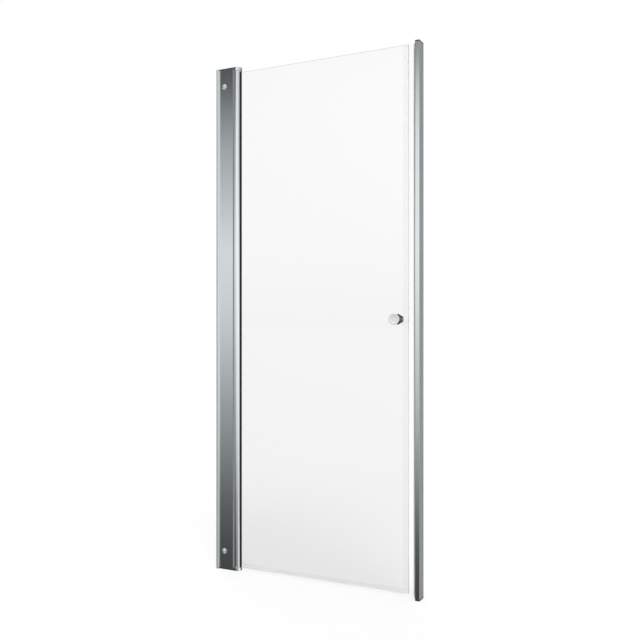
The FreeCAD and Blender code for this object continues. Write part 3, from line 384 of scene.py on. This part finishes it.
# Extruded, moulded and cast pieces: the CAD shapes, corners eased by so many millimetres
EASED_EDGES = {
    "hinge_carrier_profile": 0.25, "hinge_wall_profile": 0.3, "hinge_post": 0.25,
    "strike_wall_profile": 0.3, "strike_insert_profile": 0.25,
    "hinge_bracket_top": 0.3, "hinge_bracket_bottom": 0.3,
    "hinge_profile_cap_top": 0.3, "hinge_profile_cap_bottom": 0.3,
    "strike_profile_cap_top": 0.4, "strike_profile_cap_bottom": 0.4,
    "pivot_plug_top": 0.2, "pivot_plug_bottom": 0.2,
    "hinge_bush_top": 0.15, "hinge_bush_bottom": 0.15,
    "glazing_gasket": 0.2, "post_wiper_seals": 0.15,
    "magnetic_seal": 0.15, "drip_seal": 0.15, "strike_magnet_housing": 0.15,
}
for node, width_mm in EASED_EDGES.items():
    eased(node, width_mm * MM)

# Turned pieces
KNOB_FACE = ((0, 0), (0.12, 1.5), (0.25, 5), (0.3, 10))  # mm: how deep, how far in from the rim
# Cup washer, from the plate up: shares of its height and radius
CUP_WASHER = ((0, 1), (0.15, 1), (0.9, 0.86), (1, 0.76), (1, 0.4))
BRACKET_SCREW_PITCH = 15 * MM


def corners_of(node):
    """Low and high corner of a CAD node's box."""
    low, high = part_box(node)
    return Vector(low), Vector(high)


def outer_knob():
    """Outer knob: a neck on the glass, a barrel with a rounded rim and a barely dished face."""
    low, high = corners_of("knob_outer")
    middle, radius, reach = (low + high) / 2, (high.x - low.x) / 2, high.y - low.y
    foot = Vector((middle.x, high.y, middle.z))
    neck, neck_radius = 4 * MM, 13.2 * MM
    rim = radius - 4.2 * MM
    steps = [(0, neck_radius), (neck, neck_radius), (neck, radius), (reach, radius)]
    steps += [(reach - deep * MM, rim - inward * MM) for deep, inward in KNOB_FACE]
    piece = turned("outer_knob", foot, OUTSIDE, steps, segments=128)
    round_edges(piece, width=0.7 * MM, segments=4)
    finish_piece(piece, "knob_outer")


def inner_knob():
    """Inner knob: a plain barrel with rounded ends and a shallow recess in its face."""
    low, high = corners_of("knob_inner")
    middle, radius, reach = (low + high) / 2, (high.x - low.x) / 2, high.y - low.y
    foot = Vector((middle.x, low.y, middle.z))
    piece = turned("inner_knob", foot, INSIDE, [
        (0, radius), (reach, radius), (reach, radius - 3 * MM),
        (reach - 0.5 * MM, radius - 4.5 * MM)], segments=96)
    round_edges(piece, width=1.2 * MM, segments=5)
    finish_piece(piece, "knob_inner")


def adjuster_levels(node):
    """Heights of the two pieces of an adjusting set."""
    low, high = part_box(node)
    radius = (high[0] - low[0]) / 2
    return low[2] + radius, high[2] - radius


def adjusting_washers():
    """Cup washers: a flat rim, a raised cone and a bored middle."""
    low, high = corners_of("adjusting_washers")
    radius, height = (high.x - low.x) / 2, high.y - low.y
    levels = adjuster_levels("adjusting_washers")
    foot = Vector(((low.x + high.x) / 2, high.y, levels[0]))
    steps = [(height * up, radius * out) for up, out in CUP_WASHER]
    piece = turned("cup_washers", foot, OUTSIDE, steps, segments=64)
    bored(piece, foot, 2.6 * MM, low.y - height, high.y + height)
    finish_row(piece, levels, "adjusting_washers")


def adjusting_screws():
    """Pan head screws in the cup washers, through the slots of the wide plate."""
    low, high = corners_of("adjusting_screws")
    head_height = 3 * MM
    levels = adjuster_levels("adjusting_screws")
    seat = Vector(((low.x + high.x) / 2, low.y + head_height, levels[0]))
    piece = pan_screw("adjusting_pan_screws", seat, OUTSIDE, (high.x - low.x) / 2, head_height,
                      shank_radius=2.5 * MM, shank_length=high.y - seat.y)
    finish_row(piece, levels, "adjusting_screws")


def rear_screws(node, name, pick_levels):
    """Small pan head screws put in from inside the shower."""
    low, high = corners_of(node)
    radius, head_height = (high.x - low.x) / 2, 2.2 * MM
    levels = pick_levels(low.z + radius, high.z - radius)
    seat = Vector(((low.x + high.x) / 2, high.y - head_height, levels[0]))
    piece = pan_screw(name, seat, INSIDE, radius, head_height,
                      shank_radius=2 * MM, shank_length=seat.y - low.y)
    finish_row(piece, levels, node)


outer_knob()
inner_knob()
adjusting_washers()
adjusting_screws()
rear_screws("bracket_screws", "bracket_pan_screws", lambda low, high: (
    low, low + BRACKET_SCREW_PITCH, high - BRACKET_SCREW_PITCH, high))
rear_screws("strike_insert_screws", "insert_pan_screws", lambda low, high: (
    low, (low + high) / 2, high))

# Stage, light and camera
FLOOR_SIZE = 400  # m, so that its far edge is the horizon
FLOOR_TONE, FLOOR_GLOW, FLOOR_GLOW_BEHIND_GLASS = 0.503, 0.58, 0.535
MAT_TONE, MAT_LEFT, MAT_FRONT = 0.04, -0.2, 1.5  # the dark mat's grey and its two near sides, in m
WALL_TONE = (0.05, 0.05, 0.05, 1.0)
DIFFUSE_LIGHT = 0.6  # share of the white studio that lights matt surfaces
LAMP_SPREAD = 30  # degrees
SENSOR_MM, PHOTO_PX = 36, 640
FOCAL_PX, RAISED_PX = 801.3, 4.13  # the fitted pinhole camera, in pixels of the photo
CAMERA_PLACE, CAMERA_LOOK = (1.6933, -2.5216, 0.9129), (-0.4497, 0.8932, 0)

# Greys of the studio by height: 0 is straight down, 0.5 the horizon, 1 straight up; ends first
STUDIO_GREYS = {
    # Left of the camera, seen in the wide plate
    "left": [
        (0.0, 0.9), (1.0, 1.3), (0.22, 0.7), (0.33, 0.05), (0.36, 0.058), (0.394, 0.132),
        (0.423, 0.263), (0.453, 0.40), (0.503, 0.72), (0.546, 0.87), (0.576, 0.613),
        (0.606, 0.446), (0.628, 0.255), (0.645, 0.07), (0.70, 0.05), (0.78, 1.3)],
    # Straight before the door, seen in the strike profile's front and the knob's face
    "ahead": [
        (0.0, 0.9), (1.0, 1.3), (0.22, 0.7), (0.30, 0.04), (0.344, 0.05), (0.36, 0.075),
        (0.394, 0.258), (0.453, 0.644), (0.503, 0.84), (0.546, 1.03), (0.605, 1.09),
        (0.645, 0.81), (0.663, 0.32), (0.70, 0.15), (0.78, 1.3)],
    # Round the camera, seen in the middle of the post
    "near": [
        (0.0, 0.9), (1.0, 1.0), (0.30, 0.2), (0.36, 0.32), (0.394, 0.446), (0.423, 0.73),
        (0.453, 0.90), (0.503, 1.02), (0.546, 1.07), (0.606, 1.0), (0.645, 0.88), (0.663, 0.7)],
    # Right of the camera, seen in the post's right side
    "right": [
        (0.0, 0.9), (1.0, 1.0), (0.33, 1.1), (0.394, 0.9), (0.423, 0.95), (0.503, 1.1),
        (0.546, 1.0), (0.576, 0.78), (0.606, 0.55), (0.645, 0.6)],
    # Behind the door and to the right, seen in the nose's side
    "side": [
        (0.0, 0.6), (1.0, 0.9), (0.36, 0.3), (0.423, 0.45), (0.453, 0.6), (0.503, 0.8),
        (0.546, 0.85), (0.62, 0.6), (0.66, 0.4)],
    # Straight behind the door, for the views from behind
    "behind": [
        (0.0, 0.6), (1.0, 0.8), (0.22, 0.3), (0.30, 0.05), (0.40, 0.08), (0.44, 0.37),
        (0.56, 0.37), (0.60, 0.08), (0.70, 0.05), (0.78, 0.4)],
    # Behind the glass: white, a trace lighter towards the top
    "beyond": [(0.0, 0.96), (1.0, 1.05), (0.5, 0.972), (0.58, 1.02), (0.64, 1.045)],
}
# By X: a light strip beside a dark wall, seen in the strike profile's side
STRIP_GREYS = [(0.0, 0.45), (1.0, 0.04), (0.350, 0.45), (0.356, 0.04)]
# By (X + 1) / 2: where the dark wall stands that the knob's barrel mirrors through the glass
DARK_WALL = [(0.0, 0.0), (1.0, 0.0), (0.375, 0.0), (0.40, 1.0), (0.715, 1.0), (0.74, 0.0)]
# Where one part of the studio blends into the next, along an axis of the direction
BLENDS = {"left": ("X", -0.28, -0.5), "near": ("X", -0.2, 0.0), "right": ("X", 0.72, 0.92),
          "strip": ("X", 0.285, 0.305), "side": ("X", 0.43, 0.50), "rear": ("Y", 0.1, 0.45)}


def white_floor():
    """A pale floor that keeps a soft shadow and is white elsewhere.

    Behind the door lies a dark mat. Only a mirror that looks through the glass shows it, so the
    knob's barrel is dark below.
    """
    bpy.ops.object.select_all(action="DESELECT")
    bpy.ops.mesh.primitive_plane_add(size=FLOOR_SIZE, location=(0, 0, 0))
    floor = bpy.context.object
    floor.name = "floor"
    finish = bpy.data.materials.new("white_paper_floor")
    finish.use_nodes = True
    tree = finish.node_tree
    tree.nodes.remove(tree.nodes["Principled BSDF"])
    path = add(tree, "ShaderNodeLightPath").outputs
    seen = add(tree, "ShaderNodeMath", {"operation": "MAXIMUM"}, i0=path["Is Camera Ray"],
               i1=path["Is Transmission Ray"])
    seen = add(tree, "ShaderNodeMath", {"operation": "MAXIMUM"}, i0=seen.outputs[0],
               i1=path["Is Glossy Ray"])
    level = add(tree, "ShaderNodeMapRange", Value=path["Is Transmission Ray"],
                To_Min=FLOOR_GLOW, To_Max=FLOOR_GLOW_BEHIND_GLASS)
    glow = add(tree, "ShaderNodeMath", {"operation": "MULTIPLY"}, i0=seen.outputs[0],
               i1=level.outputs["Result"])
    place = add(tree, "ShaderNodeTexCoord").outputs["Object"]
    axes = add(tree, "ShaderNodeSeparateXYZ", Vector=place).outputs
    mat = add(tree, "ShaderNodeMath", {"operation": "GREATER_THAN"},
              i0=path["Glossy Depth"], i1=0.5)
    for axis, side in (("X", MAT_LEFT), ("Y", MAT_FRONT)):
        past = add(tree, "ShaderNodeMath", {"operation": "GREATER_THAN"}, i0=axes[axis], i1=side)
        mat = add(tree, "ShaderNodeMath", {"operation": "MULTIPLY"}, i0=mat.outputs[0],
                  i1=past.outputs[0])
    bare = add(tree, "ShaderNodeMath", {"operation": "SUBTRACT"}, i0=1.0, i1=mat.outputs[0])
    glow = add(tree, "ShaderNodeMath", {"operation": "MULTIPLY"}, i0=glow.outputs[0],
               i1=bare.outputs[0])
    tone = add(tree, "ShaderNodeMapRange", Value=mat.outputs[0], To_Min=FLOOR_TONE, To_Max=MAT_TONE)
    paper = add(tree, "ShaderNodeBsdfDiffuse", Color=tone.outputs["Result"])
    light = add(tree, "ShaderNodeEmission", Strength=glow.outputs[0])
    both = add(tree, "ShaderNodeAddShader", i0=paper.outputs["BSDF"], i1=light.outputs["Emission"])
    tree.links.new(both.outputs["Shader"], tree.nodes["Material Output"].inputs["Surface"])
    floor.data.materials.append(finish)
    floor.visible_glossy = False  # mirrors see the studio's greys instead


def studio_world():
    """White to the camera and through the glass; mirrors see a lit studio with dark bands instead.

    A mirror that looks through the glass sees the dark wall behind the door.
    """
    world = bpy.data.worlds.new("studio")
    bpy.context.scene.world = world
    world.use_nodes = True
    tree = world.node_tree
    place = add(tree, "ShaderNodeTexCoord").outputs["Generated"]
    axes = add(tree, "ShaderNodeSeparateXYZ", Vector=place).outputs
    height = add(tree, "ShaderNodeMapRange", Value=axes["Z"], From_Min=-1.0, From_Max=1.0)
    across = add(tree, "ShaderNodeMapRange", Value=axes["X"], From_Min=-1.0, From_Max=1.0)
    greys = {name: add(tree, "ShaderNodeValToRGB", Fac=height.outputs["Result"], marks=marks)
             for name, marks in STUDIO_GREYS.items()}
    greys["strip"] = add(tree, "ShaderNodeValToRGB", Fac=axes["X"], marks=STRIP_GREYS)
    wall = add(tree, "ShaderNodeValToRGB", Fac=across.outputs["Result"], marks=DARK_WALL)
    share = {name: add(tree, "ShaderNodeMapRange", Value=axes[axis], From_Min=start, From_Max=end)
             for name, (axis, start, end) in BLENDS.items()}
    halves = []
    for first, others in (("ahead", ("left", "near", "right")), ("behind", ("strip", "side"))):
        half = greys[first].outputs["Color"]
        for other in others:
            half = add(tree, "ShaderNodeMix", {"data_type": "RGBA"}, i6=half,
                       i0=share[other].outputs["Result"],
                       i7=greys[other].outputs["Color"]).outputs[2]
        halves.append(half)
    room = add(tree, "ShaderNodeMix", {"data_type": "RGBA"}, i0=share["rear"].outputs["Result"],
               i6=halves[0], i7=halves[1])
    path = add(tree, "ShaderNodeLightPath").outputs
    seen = add(tree, "ShaderNodeMix", {"data_type": "RGBA"}, i0=path["Is Transmission Ray"],
               i6=(1, 1, 1, 1), i7=greys["beyond"].outputs["Color"])
    after_mirror = add(tree, "ShaderNodeMath", {"operation": "GREATER_THAN"},
                       i0=path["Glossy Depth"], i1=0.5)
    dark = add(tree, "ShaderNodeMath", {"operation": "MULTIPLY"}, i0=after_mirror.outputs[0],
               i1=wall.outputs["Color"])
    seen = add(tree, "ShaderNodeMix", {"data_type": "RGBA"}, i0=dark.outputs[0],
               i6=seen.outputs[2], i7=WALL_TONE)
    direct = add(tree, "ShaderNodeMath", {"operation": "SUBTRACT"}, i0=1.0,
                 i1=path["Is Transmission Ray"])
    mirrored = add(tree, "ShaderNodeMath", {"operation": "MULTIPLY"}, i0=path["Is Glossy Ray"],
                   i1=direct.outputs[0])
    shown = add(tree, "ShaderNodeMix", {"data_type": "RGBA"}, i0=mirrored.outputs[0],
                i6=seen.outputs[2], i7=room.outputs[2])
    level = add(tree, "ShaderNodeMapRange", Value=path["Is Diffuse Ray"], To_Min=1.0,
                To_Max=DIFFUSE_LIGHT)
    back = tree.nodes["Background"]
    tree.links.new(shown.outputs[2], back.inputs["Color"])
    tree.links.new(level.outputs["Result"], back.inputs["Strength"])


def sun_lamp(name, direction, strength):
    """A large far lamp: soft shadows and the same light all over the floor."""
    light = bpy.data.lights.new(name, "SUN")
    light.angle = math.radians(LAMP_SPREAD)
    light.energy = strength
    lamp = bpy.data.objects.new(name, light)
    lamp.rotation_euler = Vector(direction).to_track_quat("-Z", "Y").to_euler()
    lamp.visible_glossy = False  # no lamp shows as a spot in the metal
    bpy.context.scene.collection.objects.link(lamp)


def photo_camera():
    """Level camera at half height, turned to the left, as fitted to the photograph."""
    lens = bpy.data.cameras.new("camera")
    lens.sensor_width = SENSOR_MM
    lens.lens = SENSOR_MM * FOCAL_PX / PHOTO_PX
    lens.shift_y = RAISED_PX / PHOTO_PX
    camera = bpy.data.objects.new("camera", lens)
    camera.location = CAMERA_PLACE
    camera.rotation_euler = Vector(CAMERA_LOOK).to_track_quat("-Z", "Y").to_euler()
    bpy.context.scene.collection.objects.link(camera)
    bpy.context.scene.camera = camera


white_floor()
studio_world()
sun_lamp("key", (-0.45, 0.55, -0.9), 0.8)
sun_lamp("fill", (0.5, -0.6, -0.8), 0.4)
photo_camera()
bpy.context.scene.view_settings.view_transform = "Standard"
